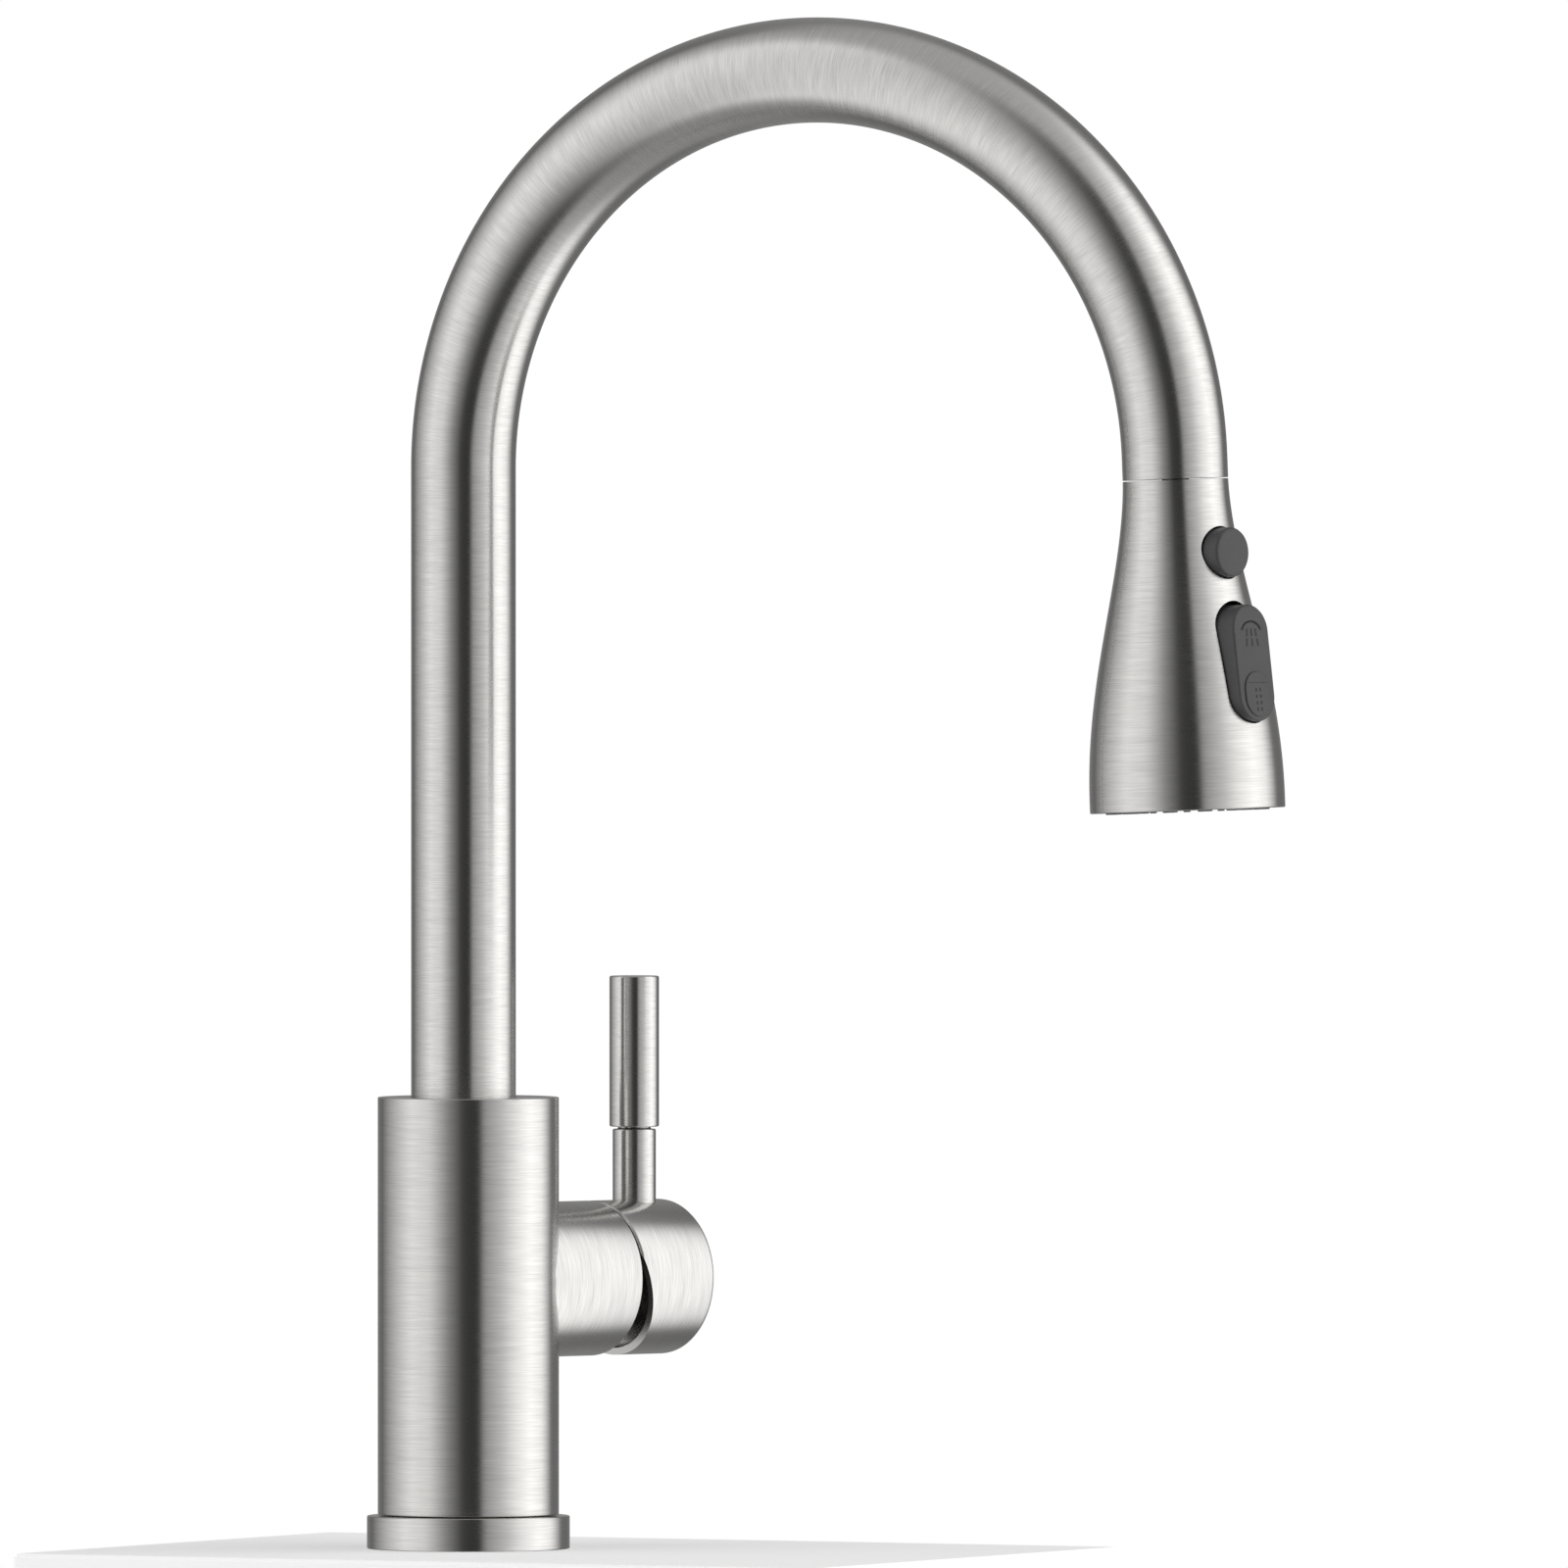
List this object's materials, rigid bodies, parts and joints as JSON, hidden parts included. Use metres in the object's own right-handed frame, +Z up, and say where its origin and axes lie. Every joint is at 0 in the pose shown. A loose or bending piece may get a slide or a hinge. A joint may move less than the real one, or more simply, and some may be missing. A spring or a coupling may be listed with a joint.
{
  "type": "pull down kitchen faucet",
  "caption": "Pull-down kitchen faucet: round body, side lever on a horizontal barrel, high gooseneck spout and a spray head with a pause button and a mode rocker.",
  "frame": {"origin": "centre of the base flange's underside, on the worktop, over the middle of the deck hole", "axes": "+Z up along the body, +X the way the spout reaches at rest; the handle axis points 70.8 degrees from +X towards +Y"},
  "size_m": [0.2684, 0.1008, 0.493],
  "materials": {
    "brushed_steel": "satin",
    "plain_steel": "satin",
    "brass": "satin",
    "black_plastic": "matte",
    "charcoal_plastic": "satin",
    "white_plastic": "satin",
    "black_rubber": "matte",
    "grey_rubber": "matte",
    "ceramic": "satin",
    "magnet": "satin",
    "braided_hose": "satin"
  },
  "bodies": {
    "base": {"base_flange": "brushed_steel", "base_seal": "black_rubber", "body_shell": "brushed_steel", "swivel_socket": "brass", "lower_bush": "white_plastic", "upper_bush": "white_plastic", "swivel_o_ring": "black_rubber", "retaining_ring": "plain_steel", "mounting_shank": "brass", "rubber_washer": "black_rubber", "steel_washer": "plain_steel", "mounting_nut": "brass", "valve_block": "brass", "port_gasket": "black_rubber", "cartridge_base": "white_plastic", "fixed_disc": "ceramic", "cartridge_housing": "white_plastic", "cartridge_nut": "brass", "bonnet": "black_plastic"},
    "mixer": {"swivel_turret": "white_plastic", "stem_pin": "plain_steel"},
    "disc_slider": {"disc_carrier": "black_plastic", "moving_disc": "ceramic"},
    "handle": {"cartridge_stem": "plain_steel", "handle_hub": "brushed_steel", "hub_set_screw": "plain_steel", "lever_rod": "brushed_steel", "lever_grip": "brushed_steel"},
    "spout": {"spout_tube": "brushed_steel", "spout_collar": "brass", "dock_insert": "black_plastic", "dock_magnet": "magnet", "spray_hose": "braided_hose", "hose_connector": "brass"},
    "hose_end": {"hose_pull_section": "braided_hose", "hose_ferrule": "plain_steel", "docking_ring": "plain_steel"},
    "spray_head": {"head_shell": "brushed_steel", "head_core": "white_plastic", "swivel_nut": "brass", "inlet_washer": "black_rubber", "filter_screen": "plain_steel", "check_valve": "white_plastic", "control_panel": "black_plastic", "rocker_pin": "plain_steel", "stream_tube": "white_plastic", "aerator": "black_plastic", "nozzle_mat": "grey_rubber", "spray_face": "black_plastic"},
    "pause_button": {"pause_button": "charcoal_plastic", "button_spring": "plain_steel"},
    "mode_rocker": {"mode_rocker": "charcoal_plastic"},
    "diverter": {"diverter_spool": "brass"}
  },
  "joints": [
    {"name": "spout_swivel", "type": "hinge", "parent": "base", "child": "spout", "pos_m": [-0.00145, 0, 0.1], "axis": [0, 0, 1], "range_deg": [-180, 180]},
    {"name": "hose_pull", "type": "slide", "parent": "spout", "child": "hose_end", "axis": [0.0419, 0, -0.9991], "range_m": [0, 0.45], "stiffness_N_per_m": 4, "springref_m": -1.5, "deforming": ["hose_pull_section"]},
    {"name": "head_swivel", "type": "hinge", "parent": "hose_end", "child": "spray_head", "pos_m": [0.21152, 0, 0.28686], "axis": [0.0419, 0, -0.9991], "continuous": true},
    {"name": "pause_press", "type": "slide", "parent": "spray_head", "child": "pause_button", "axis": [-0.9664, 0.254, -0.0405], "range_m": [0, 0.002], "stiffness_N_per_m": 800, "springref_m": -0.002, "deforming": ["button_spring"]},
    {"name": "mode_tilt", "type": "hinge", "parent": "spray_head", "child": "mode_rocker", "pos_m": [0.23002, -0.00432, 0.23809], "axis": [-0.2537, -0.9672, -0.0106], "range_deg": [0, 9]},
    {"name": "spool_slide", "type": "slide", "parent": "spray_head", "child": "diverter", "axis": [0.0419, 0, -0.9991], "range_m": [0, 0.0022]},
    {"name": "temperature_turn", "type": "hinge", "parent": "base", "child": "mixer", "pos_m": [0.01414, 0.04061, 0.0713], "axis": [0.3289, 0.9444, 0], "range_deg": [-45, 45]},
    {"name": "lever_tilt", "type": "hinge", "parent": "mixer", "child": "handle", "pos_m": [0.01414, 0.04061, 0.0713], "axis": [-0.9444, 0.3289, 0], "range_deg": [0, 20]},
    {"name": "disc_slide", "type": "slide", "parent": "mixer", "child": "disc_slider", "axis": [0, 0, 1], "range_m": [0, 0.0045]}
  ],
  "couplings": [
    {"joint": "mode_tilt", "follows": "spool_slide", "rad_per_m": 71.39},
    {"joint": "disc_slide", "follows": "lever_tilt", "m_per_rad": 0.0126}
  ]
}
